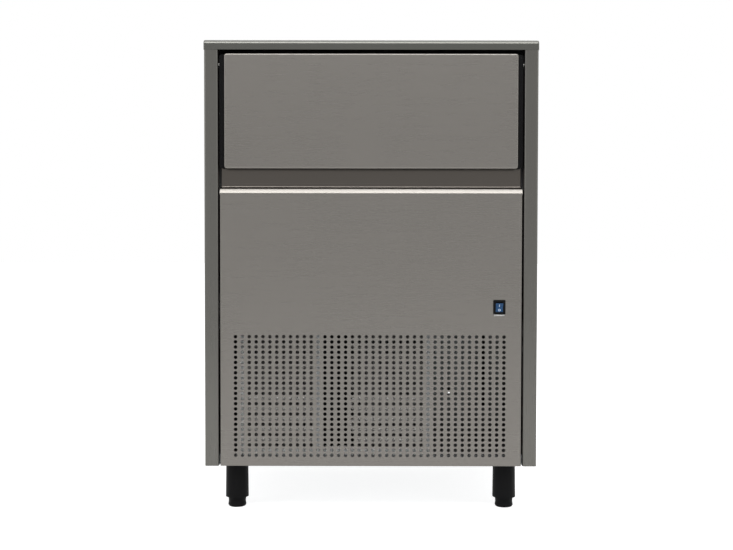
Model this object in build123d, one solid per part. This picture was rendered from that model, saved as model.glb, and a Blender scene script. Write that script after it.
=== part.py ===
"""Undercounter ice cube machine with an insulated bin and an up-and-over bin door.

The front faces -Y, +X is to the right and +Z is up. The origin is on the floor, under the
middle of the cabinet. All lengths are in millimetres.
"""
from build123d import *
import math
import os

# Cabinet
cabinet_width = 840.0
cabinet_depth = 740.0
cabinet_height = 1075.0
leg_height = 115.0
sheet = 1.2
sheet_bend = 5.0
side_flange_width = 35.0
flange_return = 24.0
rear_flange_width = 20.0
back_recess = 25.0
pan_rim_height = 25.0

# Top panel
top_overhang = 1.0
top_height = 25.0
top_edge_radius = 11.0
top_end_radius = 3.0
top_rim_width = 24.0

# Bin door, which tips about its axle and slides back on it under the top
door_height = 290.0
door_top_gap = 8.0
door_side_gap = 14.0
door_frame_gap = 2.0
door_front_set_back = 1.0
door_thickness = 31.0
door_skin_sheet = 1.0
door_skin_depth = 10.0
door_skin_edge_radius = 5.0
door_skin_corner_radius = 7.0
door_frame_set_in = 2.0
door_frame_edge_radius = 2.5
door_pad_depth = 5.0
door_pad_margin = 42.0
axle_radius = 4.0
axle_inset = 18.0
axle_drop = 27.0
door_travel = 250.0
block_front_length = 12.0
block_rear_length = 25.0
block_height = 22.4
block_width = 9.2
track_wall = 1.6
track_clearance = 0.2
track_gap_to_flange = 0.4
running_clearance = 0.1
notch_clearance = 2.0

# Finger recess under the door and the perforated lower panel
sill_gap = 1.0
sill_height_in_door = 18.0
recess_height = 49.5
sill_side_gap = 5.0
sill_bend = 8.0
sill_top_bend = 4.0
sill_ledge_depth = 15.0
panel_inset = 4.0
panel_side_gap = 3.5
panel_fold_height = 11.0
panel_fold_depth = 5.2
panel_fold_bend = 2.5
panel_edge_radius = 2.0
panel_side_return = 14.0
panel_ledge_depth = 26.0
panel_tuck = 5.0
panel_bottom_bend = 3.0
hole_diameter = 9.0
hole_pitch_x = 17.42
hole_pitch_z = 13.1
hole_columns = 40
slot_rows = 8
holes_per_slot = 3
hole_field_shift = -2.8
first_hole_height = 27.0

# Rocker switch
switch_x = 324.6
switch_height = 404.0
switch_bezel_width = 30.6
switch_bezel_height = 36.2
switch_bezel_proud = 3.0
switch_bezel_radius = 2.0
switch_body_width = 26.0
switch_body_height = 33.0
switch_body_depth = 34.0
rocker_width = 18.4
rocker_height = 23.0
rocker_depth = 9.0
rocker_dish = 1.3
rocker_pivot_depth = 3.0
rocker_half_throw = 10.0
rocker_pivot_radius = 2.0
rocker_side_clearance = 0.3
rocker_end_clearance = 1.2
rocker_well_depth = 15.0
panel_cut_clearance = 0.3

# Feet
foot_x = 345.0
foot_y = 310.0
leg_top_radius = 28.6
leg_bottom_radius = 29.6
leg_bottom_height = 26.0
leg_bore_top_wall = 12.0
leg_stud_radius = 6.0
leg_stud_height = 14.0
foot_radius = 23.2
foot_waist_radius = 22.0
foot_pad_radius = 17.0
foot_pad_height = 6.0
foot_waist_height = 14.0
foot_clearance = 0.3
foot_engagement = 62.0

# Insulated bin
machine_room_height = 445.0
bin_floor_thickness = 38.0
bin_wall_sheet = 2.0
bin_side_clearance = 2.0
bin_front_thickness = 37.0
bin_rear_thickness = 38.8
track_room_height = 53.0
track_room_depth = 13.0
ledge_width = 10.0
ledge_height = 10.0
ledge_drop = 270.0

# Condensers behind the perforated panel
condenser_front_gap = 34.0
condenser_width = 176.0
condenser_depth = 44.0
condenser_height = 318.0
condenser_base_height = 37.0
condenser_left_x = -318.0
condenser_pitch = 279.4
condenser_flange = 16.0
fin_groove_width = 3.2
fin_groove_depth = 7.0
fin_pitch = 8.0
stub_radius = 4.5
stub_height_low = 40.0
stub_height_high = 18.0
outlet_rise = 43.0
outlet_reach = 20.0
outlet_bend = 10.0

# Condenser fans
fan_radius = 84.0
fan_hub_radius = 20.0
fan_hub_length = 26.0
fan_blade_count = 4
fan_blade_chord = 62.0
fan_blade_thickness = 2.0
fan_blade_pitch = 24.0
fan_front_gap = 10.0
fan_tip_clearance = 6.0
fan_ring_depth = 20.0
fan_shaft_radius = 4.0
fan_shaft_seat = 10.0
motor_radius = 38.0
motor_length = 50.0
motor_end_radius = 8.0
arm_width = 14.0
arm_thickness = 2.0
arm_gap = 6.0
arm_count = 3
arm_hub_radius = 24.0
arm_hole_radius = 8.0

# Compressor and refrigerant circuit
compressor_x = -120.0
compressor_y = 110.0
compressor_radius = 92.0
compressor_height = 238.0
compressor_dome_radius = 45.0
compressor_seam_radius = 95.0
compressor_seam_height = 8.0
compressor_plate_size = 200.0
compressor_plate_thickness = 4.0
mount_height = 25.0
mount_radius = 14.0
mount_neck_radius = 7.0
mount_head_height = 6.0
mount_spread = 82.0
port_offset = 55.0
port_top_height = 14.0
suction_radius = 6.0
liquid_radius = 3.5
line_bend = 20.0
line_clearance = 0.5
line_wall_gap = 18.8
discharge_height = 370.0
suction_height = 325.0
liquid_line_x = 275.0
suction_line_x = 254.0
drier_radius = 14.0
drier_length = 84.0
drier_neck_length = 14.0

# Electrical box and cable entry
box_left_x = 215.0
box_width = 160.0
box_depth = 118.0
box_height = 88.0
box_front_gap = 48.0
box_edge_radius = 4.0
gland_x = 250.0
gland_height = 90.0
gland_radius = 11.0
gland_bore_radius = 5.0
gland_nut_width = 27.0
gland_nut_length = 8.0
gland_length = 36.0
gland_proud = 20.0

# Water supply and drain
valve_x = -300.0
valve_height = 85.0
valve_body_size = 38.0
valve_coil_radius = 15.0
valve_coil_length = 30.0
inlet_thread_radius = 13.2
inlet_thread_length = 19.0
inlet_bore_radius = 8.0
inlet_nut_width = 32.0
inlet_nut_length = 4.0
hose_radius = 5.0
drain_x = 350.0
drain_y = 270.0
drain_height = 65.0
drain_radius = 12.0
drain_bore_radius = 9.0
drain_flange_radius = 24.0
drain_flange_height = 3.0
drain_tail = 30.0
drain_hose_radius = 14.0
drain_hose_bend = 34.0
drain_spigot_length = 20.0
drain_spigot_inside = 24.0
vent_width = 130.0
vent_height = 6.0
vent_pitch = 20.0
vent_rows = 8
vent_columns = 2
vent_column_pitch = 170.0
vent_bottom_height = 285.0

# Water basin, spray bars and pump
basin_side_clearance = 4.0
basin_front = -48.0
basin_height = 63.0
basin_wall = 3.0
basin_corner_radius = 14.0
overflow_radius = 11.0
overflow_height = 44.0
overflow_floor_gap = 12.0
overflow_collar_radius = 16.0
overflow_collar_height = 5.0
spray_bar_count = 3
spray_bar_radius = 8.0
spray_header_radius = 10.0
spray_height = 16.0
nozzle_count = 5
nozzle_radius = 5.0
nozzle_tip_radius = 2.5
nozzle_height = 9.0
spray_foot = 8.0
pump_x = 330.0
pump_y = 100.0
pump_radius = 34.0
pump_casing_height = 28.0
pump_wall = 3.0
pump_eye_radius = 12.0
pump_floor_gap = 5.0
pump_column_radius = 18.0
pump_shaft_radius = 4.0
pump_plate_thickness = 4.0
pump_plate_length = 84.0
pump_motor_radius = 36.0
pump_motor_height = 72.0
pump_seat = 10.0
impeller_radius = 26.0
impeller_height = 14.0
impeller_vane_count = 6
impeller_vane_thickness = 3.0
impeller_disc = 3.0
impeller_gap = 3.0
spout_radius = 9.0

# Evaporator, ice chute and curtain
cup_pitch = 42.0
cup_columns = 10
cup_rows = 6
cup_mouth = 36.0
cup_crown = 29.0
cup_height = 40.0
cup_wall = 1.5
plate_thickness = 4.0
plate_rim = 12.0
evaporator_front = 10.0
coil_radius = 5.0
coil_tail = 8.0
chamber_wall = 3.0
chamber_height = 142.0
chamber_rear_gap = 6.0
chamber_front = -62.0
cover_thickness = 11.0
cover_gap = 3.0
cover_post = 6.0
cover_margin = 6.0
chute_front = -46.0
chute_front_height = 68.0
chute_slope = 9.2
chute_rail = 6.0
chute_thickness = 5.0
chute_bar_width = 4.0
chute_bar_pitch = 22.0
chute_side_gap = 1.0
chute_rear_gap = 6.0
curtain_y = -54.0
curtain_drop_from_top = 12.0
rod_radius = 3.0
slat_count = 4
slat_gap = 1.0
slat_thickness = 2.4
slat_knuckle_radius = 5.5
slat_length = 66.0
slat_stiffener = 5.0
slat_side_gap = 0.8

# Places that follow from the sizes above
half_width = cabinet_width / 2
inner_half = half_width - sheet
front_y = -cabinet_depth / 2
rear_y = cabinet_depth / 2
back_y = rear_y - back_recess
back_inner_y = back_y - sheet
base_z = leg_height
pan_floor_z = base_z + sheet
top_z = base_z + cabinet_height
roof_z = top_z - top_height
opening_half = half_width - side_flange_width
return_y = front_y + flange_return

door_half = opening_half - door_side_gap
door_frame_half = opening_half - door_frame_gap
door_top_z = roof_z - door_top_gap
door_bottom_z = door_top_z - door_height
door_front_y = front_y + door_front_set_back
door_frame_y = door_front_y + door_skin_depth
door_rear_y = door_front_y + door_thickness
axle_y = door_front_y + axle_inset
axle_z = door_top_z - axle_drop

track_inner_x = opening_half + sheet + track_gap_to_flange
track_outer_x = opening_half + track_room_depth
track_front_y = axle_y - block_front_length - track_clearance - track_wall
track_rear_y = axle_y + block_rear_length + door_travel + track_clearance + track_wall
block_outer_x = track_outer_x - track_wall - track_clearance
block_inner_x = block_outer_x - block_width

sill_y = door_rear_y + sill_gap
sill_z = door_bottom_z + sill_height_in_door
sill_half = opening_half - sill_side_gap
panel_top_z = door_bottom_z - recess_height
panel_y = front_y + panel_inset
panel_half = opening_half - panel_side_gap

bin_base_z = base_z + machine_room_height
bin_floor_z = bin_base_z + bin_floor_thickness + bin_wall_sheet
bin_half = opening_half + bin_side_clearance
bin_front_y = sill_y + bin_front_thickness
bin_rear_y = back_inner_y - bin_rear_thickness
track_room_z = roof_z - track_room_height

switch_z = base_z + switch_height
pivot_y = panel_y + rocker_pivot_depth

basin_z = roof_z - ledge_drop
basin_half = bin_half - basin_side_clearance
basin_floor_z = basin_z + basin_wall
basin_rim_z = basin_z + basin_height
basin_rear_y = bin_rear_y - bin_wall_sheet

plate_half = cup_columns * cup_pitch / 2 + plate_rim
evaporator_rear = evaporator_front + cup_rows * cup_pitch
chamber_half = plate_half
chamber_top_z = basin_floor_z + chamber_height
chamber_rear_y = evaporator_rear + chamber_rear_gap
cup_base_z = chamber_top_z + plate_thickness
cup_top_z = cup_base_z + cup_height
coil_z = cup_top_z + coil_radius
cover_z = coil_z + coil_radius + cover_gap
coil_end_x = cup_columns * cup_pitch / 2 + coil_tail

condenser_y = panel_y + condenser_front_gap
condenser_rear_y = condenser_y + condenser_depth
condenser_z = base_z + condenser_base_height
condenser_top_z = condenser_z + condenser_height
condenser_right_x = condenser_left_x + condenser_pitch
fan_z = condenser_z + condenser_height / 2
shroud_rear_y = condenser_rear_y + sheet
fan_y = shroud_rear_y + fan_front_gap
arm_y = fan_y + fan_hub_length + arm_gap
motor_y = arm_y + arm_thickness

compressor_z = pan_floor_z + mount_height
port_z = compressor_z + compressor_height + port_top_height
line_y = back_inner_y - line_wall_gap
tube_y = condenser_y + condenser_depth / 2
drier_x = condenser_right_x + condenser_width + outlet_reach
drier_y = condenser_rear_y
drier_z = condenser_top_z - stub_height_high + outlet_rise

spray_z = basin_floor_z + spray_height
header_x = cup_columns * cup_pitch / 2 - spray_header_radius
pump_floor_z = basin_floor_z + pump_floor_gap
drain_z = base_z + drain_height


def block(x0, x1, y0, y1, z0, z1):
    """Rectangular solid between two corners."""
    middle = Pos((x0 + x1) / 2, (y0 + y1) / 2, (z0 + z1) / 2)
    return middle * Box(x1 - x0, y1 - y0, z1 - z0)


def rod(radius, start, end):
    """Round bar from one point to another."""
    run = Vector(*end) - Vector(*start)
    return Solid.make_cylinder(radius, run.length, Plane(origin=start, z_dir=run))


def bent_tube(points, bend_radius, radius):
    """Round tube along straight runs that are joined by arcs."""
    path = FilletPolyline(*points, radius=bend_radius)
    return sweep(Plane(origin=path @ 0, z_dir=path % 0) * Circle(radius), path)


def folded(points, bends, plane, length, thickness=sheet):
    """Sheet folded along a centre line and drawn out both ways from the plane."""
    line = FilletPolyline(*points, radius=bends)
    return extrude(plane * trace(line, line_width=thickness), length / 2, both=True)


def turned(points, x=0.0, y=0.0):
    """Solid of revolution about a vertical axis from (radius, height) points."""
    outline = make_face(Polyline(*points, close=True))
    return Pos(x, y, 0) * revolve(Plane.XZ * outline, Axis.Z)


def mirrored_pair(shape):
    """The piece and its mirror image on the other side of the cabinet."""
    return [shape, mirror(shape, Plane.YZ)]


def make_base_pan():
    """Galvanised floor tray that the legs, compressor and condensers stand on."""
    tray = block(-inner_half, inner_half, return_y, rear_y - sheet, base_z, base_z + pan_rim_height)
    tray = fillet(tray.edges().filter_by(Axis.Z), sheet_bend - sheet)
    inside = block(-inner_half + sheet, inner_half - sheet, return_y + sheet,
                   rear_y - 2 * sheet, pan_floor_z, base_z + pan_rim_height)
    inside = fillet(inside.edges().filter_by(Axis.Z), sheet_bend - 2 * sheet)
    pan = tray - inside
    for x, y in leg_places():
        pan -= rod(leg_stud_radius, (x, y, base_z), (x, y, pan_floor_z))
    return pan


def leg_places():
    """Centres of the four legs."""
    return [(sx * foot_x, sy * foot_y) for sy in (-1, 1) for sx in (-1, 1)]


def make_side_panel():
    """Right side panel with rounded front flange, its return and the rear flange."""
    skin_x = half_width - sheet / 2
    skin_front = front_y + sheet / 2
    skin_rear = rear_y - sheet / 2
    return_x = opening_half + sheet / 2
    points = [(return_x, return_y), (return_x, skin_front), (skin_x, skin_front),
              (skin_x, skin_rear), (half_width - rear_flange_width, skin_rear)]
    height = roof_z - base_z
    plane = Plane.XY.offset(base_z + height / 2)
    panel = folded(points, sheet_bend - sheet / 2, plane, height)
    reach = axle_radius + notch_clearance
    notch = block(opening_half - sheet, opening_half + 2 * sheet, axle_y - reach, return_y,
                  axle_z - reach, axle_z + reach)
    return panel - notch


def make_back_panel():
    """Recessed back with air slots and holes for the water, drain and cable fittings."""
    side_x = inner_half - sheet / 2
    wall_y = back_y - sheet / 2
    height = roof_z - pan_floor_z
    plane = Plane.XY.offset(pan_floor_z + height / 2)
    rim_y = rear_y - sheet_bend
    points = [(-side_x, rim_y), (-side_x, wall_y), (side_x, wall_y), (side_x, rim_y)]
    panel = folded(points, sheet_bend - sheet / 2, plane, height)
    for x in (-inner_half, inner_half - sheet):
        panel -= block(x, x + sheet, back_inner_y, rim_y, pan_floor_z, base_z + pan_rim_height)
    slots = GridLocations(vent_column_pitch, vent_pitch, vent_columns, vent_rows)
    vents_z = base_z + vent_bottom_height + (vent_rows - 1) * vent_pitch / 2
    face = Plane(origin=(0, back_inner_y, vents_z), x_dir=(1, 0, 0), z_dir=(0, 1, 0))
    slot = Rectangle(vent_width, vent_height)
    panel -= extrude(face * (Sketch() + [place * slot for place in slots]), sheet)
    for x, z, radius in back_fittings():
        panel -= rod(radius + panel_cut_clearance, (x, back_inner_y, z), (x, back_y, z))
    return panel


def back_fittings():
    """Place and radius of each fitting that passes through the back."""
    return [(valve_x, base_z + valve_height, inlet_thread_radius),
            (drain_x, drain_z, drain_radius),
            (gland_x, base_z + gland_height, gland_radius)]


def make_top_panel():
    """Folded top, rounded at its front and rear, with a rim that rests on the cabinet."""
    outer = Box(cabinet_width + 2 * top_overhang, cabinet_depth + 2 * top_overhang, top_height)
    outer = fillet(outer.faces().sort_by(Axis.Z)[-1].edges().filter_by(Axis.X), top_edge_radius)
    ends = outer.faces().filter_by(Axis.X)
    rims = [edge for face in ends for edge in face.edges() if edge.center().Z > -top_height / 2]
    outer = fillet(rims, top_end_radius)
    inner = offset(outer, amount=-sheet)
    window = Box(cabinet_width - 2 * top_rim_width, cabinet_depth - 2 * top_rim_width, top_height)
    shell = outer - inner - Pos(0, 0, -top_height / 2) * window
    return Pos(0, 0, roof_z + top_height / 2) * shell


def make_top_insulation():
    """Foam slab inside the top panel."""
    half_x = half_width - top_edge_radius
    half_y = cabinet_depth / 2 - top_edge_radius
    return block(-half_x, half_x, -half_y, half_y, roof_z + sheet, top_z - sheet)


def hole_field_height():
    """Height of the perforated field, from first to last hole."""
    return (slot_rows * holes_per_slot - 1) * hole_pitch_z


def make_front_panel():
    """Removable lower panel, perforated, with a sloping fold along its top and a foot
    that tucks under the base pan.
    """
    face_y = panel_y + sheet / 2
    low_z = base_z - sheet / 2
    high_z = panel_top_z - sheet / 2
    slope_z = high_z - panel_fold_height
    side_low = base_z + 2 * panel_bottom_bend
    side_high = slope_z - 2 * panel_fold_bend
    side_x = panel_half - sheet / 2
    side_y = panel_y + panel_side_return
    foot = [(return_y + panel_tuck, low_z), (face_y, low_z), (face_y, side_low)]
    fold = [(face_y, side_high), (face_y, slope_z), (face_y + panel_fold_depth, high_z),
            (panel_y + panel_ledge_depth, high_z)]
    face = [(-side_x, side_y), (-side_x, face_y), (side_x, face_y), (side_x, side_y)]
    middle = Plane.XY.offset((side_low + side_high) / 2)
    panel = folded(foot, panel_bottom_bend, Plane.YZ, 2 * panel_half)
    panel += folded(fold, panel_fold_bend, Plane.YZ, 2 * panel_half)
    panel += folded(face, panel_edge_radius, middle, side_high - side_low)
    slot = Rectangle(hole_diameter, (holes_per_slot - 1) * hole_pitch_z + hole_diameter)
    grid = GridLocations(hole_pitch_x, holes_per_slot * hole_pitch_z, hole_columns, slot_rows)
    field_z = base_z + first_hole_height + hole_field_height() / 2
    face = Plane(origin=(hole_field_shift, panel_y + sheet, field_z), x_dir=(1, 0, 0), z_dir=(0, -1, 0))
    panel -= extrude(face * (Sketch() + [place * slot for place in grid]), sheet)
    return panel - switch_opening()


def switch_opening():
    """Cut in the lower panel for the body of the switch."""
    half_x = switch_body_width / 2 + panel_cut_clearance
    half_z = switch_body_height / 2 + panel_cut_clearance
    return block(switch_x - half_x, switch_x + half_x, panel_y, panel_y + sheet,
                 switch_z - half_z, switch_z + half_z)


def make_sill_panel():
    """Folded plate behind the finger recess, which the closed door rests against."""
    wall_y = sill_y + sheet / 2
    ledge_z = panel_top_z + sheet / 2
    top = sill_z + sheet / 2
    points = [(sill_y - sill_ledge_depth, ledge_z), (wall_y, ledge_z), (wall_y, top), (bin_front_y, top)]
    return folded(points, [sill_bend, sill_top_bend], Plane.YZ, 2 * sill_half)


def bin_space(grow):
    """Hollow of the bin and of the room above it, grown by a wall's thickness."""
    lower = block(-bin_half - grow, bin_half + grow, bin_front_y - grow, bin_rear_y + grow,
                  bin_floor_z - grow, sill_z)
    upper = block(-bin_half - grow, bin_half + grow, return_y, bin_rear_y + grow, sill_z, roof_z)
    wide = track_outer_x + grow
    tracks = block(-wide, wide, return_y, bin_rear_y + grow, track_room_z - grow, roof_z)
    return lower + upper + tracks


def make_bin_insulation():
    """Foam body round the bin, with bores for the drain, the water hose and the lines."""
    body = block(-inner_half, inner_half, return_y, back_inner_y, bin_base_z, roof_z)
    body -= block(-bin_half, bin_half, return_y, sill_y + sheet, bin_base_z, sill_z)
    body -= bin_space(bin_wall_sheet)
    lip = body.edges().filter_by(Axis.X).sort_by_distance((0, sill_y + sheet, sill_z))[0]
    body = fillet(lip, sill_top_bend)
    body -= rod(drain_radius + panel_cut_clearance, (drain_x, drain_y, bin_base_z),
                (drain_x, drain_y, bin_floor_z))
    return body - service_bores()


def service_bores():
    """Room for the water hose and the two refrigerant lines in the rear wall."""
    bores = bent_tube(water_hose_points(), line_bend, hose_radius + line_clearance)
    bores += bent_tube(liquid_line_points(), line_bend, liquid_radius + line_clearance)
    return bores + bent_tube(suction_line_points(), line_bend, suction_radius + line_clearance)


def make_bin_liner():
    """Moulded liner with the ledges that carry the water basin."""
    liner = bin_space(bin_wall_sheet) - bin_space(0)
    for side in (-1, 1):
        x = sorted((side * bin_half, side * (bin_half - ledge_width)))
        liner += block(x[0], x[1], basin_front, bin_rear_y, basin_z - ledge_height, basin_z)
    liner -= rod(drain_radius + panel_cut_clearance, (drain_x, drain_y, bin_base_z),
                 (drain_x, drain_y, bin_floor_z))
    return liner - service_bores()


def make_door_track():
    """Right track: a channel, closed at both ends, that the slide block runs in."""
    half_height = block_height / 2 + track_clearance
    body = block(track_inner_x, track_outer_x, track_front_y, track_rear_y,
                 axle_z - half_height - track_wall, axle_z + half_height + track_wall)
    channel = block(track_inner_x, track_outer_x - track_wall, track_front_y + track_wall,
                    track_rear_y - track_wall, axle_z - half_height, axle_z + half_height)
    return body - channel


def make_door_axle():
    """Rod through the top of the door, from one slide block to the other."""
    return rod(axle_radius, (-block_outer_x, axle_y, axle_z), (block_outer_x, axle_y, axle_z))


def make_slide_blocks():
    """Two plastic blocks on the ends of the axle."""
    body = block(block_inner_x, block_outer_x, axle_y - block_front_length,
                 axle_y + block_rear_length, axle_z - block_height / 2, axle_z + block_height / 2)
    body -= rod(axle_radius + running_clearance / 2, (block_inner_x, axle_y, axle_z),
                (block_outer_x, axle_y, axle_z))
    return Compound(children=mirrored_pair(body))


def make_door_skin():
    """Steel front of the door: a shallow pan with rounded edges."""
    pan = block(-door_half, door_half, door_front_y, door_frame_y, door_bottom_z, door_top_z)
    pan = fillet(pan.edges().filter_by(Axis.Y), door_skin_corner_radius)
    pan = fillet(pan.faces().sort_by(Axis.Y)[0].edges(), door_skin_edge_radius)
    return offset(pan, amount=-door_skin_sheet, openings=pan.faces().sort_by(Axis.Y)[-1])


def make_door_inner():
    """Black moulded body of the door, which fills the skin and carries the axle."""
    low_z = door_bottom_z + door_frame_set_in
    high_z = door_top_z - door_frame_set_in
    body = block(-door_frame_half, door_frame_half, door_frame_y, door_rear_y, low_z, high_z)
    body = fillet(body.edges().filter_by(Axis.Y), door_skin_corner_radius)
    body = fillet(body.faces().sort_by(Axis.Y)[-1].edges(), door_frame_edge_radius)
    rim = door_skin_corner_radius
    fill = door_half - rim
    body += block(-fill, fill, door_front_y + door_skin_sheet, door_frame_y,
                  door_bottom_z + rim, door_top_z - rim)
    pad = door_half - door_pad_margin
    body -= block(-pad, pad, door_rear_y - door_pad_depth, door_rear_y,
                  low_z + door_pad_margin, axle_z - door_pad_margin)
    return body - rod(axle_radius + running_clearance, (-door_frame_half, axle_y, axle_z),
                      (door_frame_half, axle_y, axle_z))


def make_leg_tubes():
    """Four black leg tubes, slightly wider at the foot, with a stud through the base pan."""
    bore = foot_radius + foot_clearance
    bore_top = base_z - leg_bore_top_wall
    stud = leg_stud_radius - running_clearance
    stud_top = base_z + leg_stud_height
    points = [(0, stud_top), (stud, stud_top), (stud, base_z), (leg_top_radius, base_z),
              (leg_bottom_radius, leg_bottom_height), (bore, leg_bottom_height),
              (bore, bore_top), (0, bore_top)]
    return Compound(children=[turned(points, x, y) for x, y in leg_places()])


def make_foot(x, y):
    """Adjustable foot: a rounded pad, a waist and the sleeve inside the leg tube."""
    top = leg_bottom_height + foot_engagement
    with BuildSketch(Plane.XZ) as half:
        with BuildLine():
            Polyline((0, 0), (foot_pad_radius, 0))
            RadiusArc((foot_pad_radius, 0), (foot_radius, foot_pad_height), -foot_pad_height)
            Polyline((foot_radius, foot_pad_height), (foot_waist_radius, foot_waist_height),
                     (foot_radius, leg_bottom_height), (foot_radius, top), (0, top), (0, 0))
        make_face()
    return Pos(x, y, 0) * revolve(half.sketch, Axis.Z)


def make_switch_housing():
    """Black bezel and body of the rocker switch, with the well that the rocker tips in."""
    bezel = block(switch_x - switch_bezel_width / 2, switch_x + switch_bezel_width / 2,
                  panel_y - switch_bezel_proud, panel_y,
                  switch_z - switch_bezel_height / 2, switch_z + switch_bezel_height / 2)
    bezel = fillet(bezel.edges().filter_by(Axis.Y), switch_bezel_radius)
    body = block(switch_x - switch_body_width / 2, switch_x + switch_body_width / 2, panel_y,
                 panel_y + switch_body_depth,
                 switch_z - switch_body_height / 2, switch_z + switch_body_height / 2)
    half_x = rocker_width / 2 + rocker_side_clearance
    half_z = rocker_height / 2 + rocker_end_clearance
    well = block(switch_x - half_x, switch_x + half_x, panel_y - switch_bezel_proud,
                 panel_y - switch_bezel_proud + rocker_well_depth,
                 switch_z - half_z, switch_z + half_z)
    reach = half_x + rocker_pivot_radius
    pivot = rod(rocker_pivot_radius + running_clearance, (switch_x - reach, pivot_y, switch_z),
                (switch_x + reach, pivot_y, switch_z))
    return bezel + body - well - pivot


def make_switch_rocker():
    """Blue rocker with a dished face and stub pivots, one end pressed in."""
    half_z = rocker_height / 2
    face = rocker_depth / 2 + rocker_dish
    points = [(-face, -half_z), (-face + rocker_dish, 0), (-face, half_z),
              (rocker_depth / 2, half_z / 2), (rocker_depth / 2, -half_z / 2)]
    body = extrude(Plane.YZ * make_face(Polyline(*points, close=True)), rocker_width / 2, both=True)
    reach = rocker_width / 2 + rocker_side_clearance + rocker_pivot_radius
    body += rod(rocker_pivot_radius, (-reach, 0, 0), (reach, 0, 0))
    return Pos(switch_x, pivot_y, switch_z) * Rot(rocker_half_throw, 0, 0) * body


def make_condenser(x):
    """Fin block between two end plates; the right plate has a flange that faces forward."""
    right = x + condenser_width
    core = block(x + sheet, right - sheet, condenser_y, condenser_rear_y, condenser_z, condenser_top_z)
    count = int((condenser_width - 2 * sheet) // fin_pitch) - 1
    centre = x + condenser_width / 2
    for place in GridLocations(fin_pitch, 1, count, 1):
        gap_x = centre + place.position.X
        left_side = gap_x - fin_groove_width / 2
        right_side = gap_x + fin_groove_width / 2
        for y in (condenser_y, condenser_rear_y - fin_groove_depth):
            core -= block(left_side, right_side, y, y + fin_groove_depth, condenser_z, condenser_top_z)
    core += block(x, x + sheet, condenser_y, condenser_rear_y, condenser_z, condenser_top_z)
    core += block(right - sheet, right, condenser_y, condenser_rear_y, condenser_z, condenser_top_z)
    core += block(right - sheet, right + condenser_flange, condenser_y, condenser_y + sheet,
                  condenser_z, condenser_top_z)
    return core


def make_left_condenser():
    """Left condenser with the link tube that feeds the right one."""
    low_z = condenser_z + stub_height_low
    start = condenser_left_x + condenser_width
    return make_condenser(condenser_left_x) + rod(
        stub_radius, (start, tube_y, low_z), (condenser_right_x, tube_y, low_z))


def make_right_condenser():
    """Right condenser with the outlet tube that rises to the filter drier."""
    start = condenser_right_x + condenser_width - sheet
    low_z = condenser_top_z - stub_height_high
    points = [(start, tube_y, low_z), (drier_x, tube_y, low_z), (drier_x, tube_y, drier_z),
              (drier_x, drier_y, drier_z)]
    return make_condenser(condenser_right_x) + bent_tube(points, outlet_bend, stub_radius)


def make_condenser_frame():
    """Galvanised rail under both condensers, with an upright at its left end."""
    left = condenser_left_x - condenser_flange
    right = condenser_right_x + condenser_width + condenser_flange
    rail = block(left, right, condenser_y, condenser_rear_y, pan_floor_z, condenser_z)
    rail -= block(left, right, condenser_y + sheet, condenser_rear_y - sheet, pan_floor_z,
                  condenser_z - sheet)
    upright = block(left, condenser_left_x, condenser_y, condenser_y + sheet, condenser_z, condenser_top_z)
    return rail + upright + block(condenser_left_x - sheet, condenser_left_x, condenser_y,
                                  condenser_rear_y, condenser_z, condenser_top_z)


def fan_places():
    """Centre of each condenser across the cabinet."""
    return [x + condenser_width / 2 for x in (condenser_left_x, condenser_right_x)]


def make_fan_shroud():
    """Plate behind both condensers with a short ring round each fan."""
    ring_radius = fan_radius + fan_tip_clearance
    shroud = block(condenser_left_x, condenser_right_x + condenser_width, condenser_rear_y,
                   shroud_rear_y, condenser_z, condenser_top_z)
    for x in fan_places():
        ring_end = (x, shroud_rear_y + fan_ring_depth, fan_z)
        shroud += rod(ring_radius + sheet, (x, condenser_rear_y, fan_z), ring_end)
        shroud -= rod(ring_radius, (x, condenser_rear_y, fan_z), ring_end)
    return shroud


def make_fan(x):
    """Pressed fan with pitched blades, its hub and the motor's shaft."""
    hub_end = fan_y + fan_hub_length
    reach = (fan_hub_radius + fan_radius) / 2
    blade = Box(fan_blade_chord, fan_blade_thickness, fan_radius - fan_hub_radius + fan_hub_length / 2)
    blade = Pos(0, 0, reach) * Rot(0, 0, fan_blade_pitch) * blade
    fan = rod(fan_hub_radius, (0, -fan_hub_length / 2, 0), (0, fan_hub_length / 2, 0))
    for index in range(fan_blade_count):
        fan += Rot(0, index * 360 / fan_blade_count, 0) * blade
    fan &= rod(fan_radius, (0, -fan_hub_length / 2, 0), (0, fan_hub_length / 2, 0))
    fan = Pos(x, fan_y + fan_hub_length / 2, fan_z) * fan
    return fan + rod(fan_shaft_radius, (x, hub_end, fan_z), (x, motor_y + fan_shaft_seat, fan_z))


def make_fan_arms():
    """Spider behind each fan, from the shroud to the motor."""
    leg_radius = fan_radius + fan_tip_clearance + 2 * sheet + arm_thickness
    arm = block(-arm_width / 2, arm_width / 2, arm_y, motor_y, 0, leg_radius)
    arm += block(-arm_width / 2, arm_width / 2, shroud_rear_y, motor_y,
                 leg_radius - arm_thickness, leg_radius)
    hub = rod(arm_hub_radius, (0, arm_y, 0), (0, motor_y, 0))
    for index in range(arm_count):
        hub += Rot(0, index * 360 / arm_count, 0) * arm
    hub -= rod(arm_hole_radius, (0, arm_y, 0), (0, motor_y, 0))
    return Compound(children=[Pos(x, 0, fan_z) * hub for x in fan_places()])


def make_fan_motors():
    """Two closed fan motors with a bore for the shaft."""
    end = motor_y + motor_length
    motor = rod(motor_radius, (0, motor_y, 0), (0, end, 0))
    motor = fillet(motor.edges().filter_by(GeomType.CIRCLE).sort_by(Axis.Y)[-1], motor_end_radius)
    motor -= rod(fan_shaft_radius + running_clearance, (0, motor_y, 0),
                 (0, motor_y + fan_shaft_seat + running_clearance, 0))
    return Compound(children=[Pos(x, 0, fan_z) * motor for x in fan_places()])


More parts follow.
